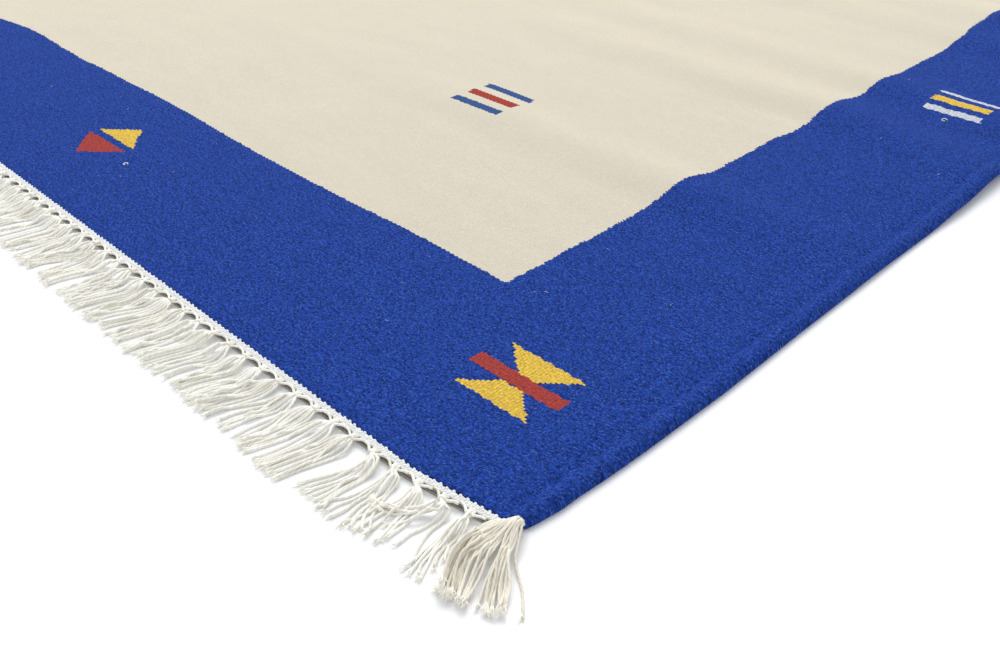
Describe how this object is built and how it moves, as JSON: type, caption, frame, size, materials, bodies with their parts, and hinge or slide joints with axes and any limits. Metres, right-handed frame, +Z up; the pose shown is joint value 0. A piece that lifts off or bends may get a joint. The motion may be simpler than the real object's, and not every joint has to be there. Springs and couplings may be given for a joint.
{
  "type": "kilim rug",
  "caption": "Flat-woven rectangular wool rug with a pale field, a wide border with small geometric motifs, rolled selvedges, knotted end fringes and corner tassels.",
  "frame": {"origin": "middle of the rug at floor level", "axes": "+X across the rug from selvedge to selvedge, +Y along it from the front fringe to the back fringe, +Z up from the floor"},
  "size_m": [1.4858, 2.1392, 0.0157],
  "materials": {
    "wool_weave": "matt weft-faced wool weave, blue border and cream field",
    "white_cotton": "matt twisted cotton yarn",
    "cream_cotton": "matt soft cotton yarn"
  },
  "bodies": {
    "root": {"kilim_cloth": "wool_weave", "fringe_front": "white_cotton", "fringe_back": "white_cotton", "tassel_front_right": "cream_cotton", "tassel_front_left": "cream_cotton", "tassel_back_left": "cream_cotton", "tassel_back_right": "cream_cotton"}
  },
  "joints": []
}
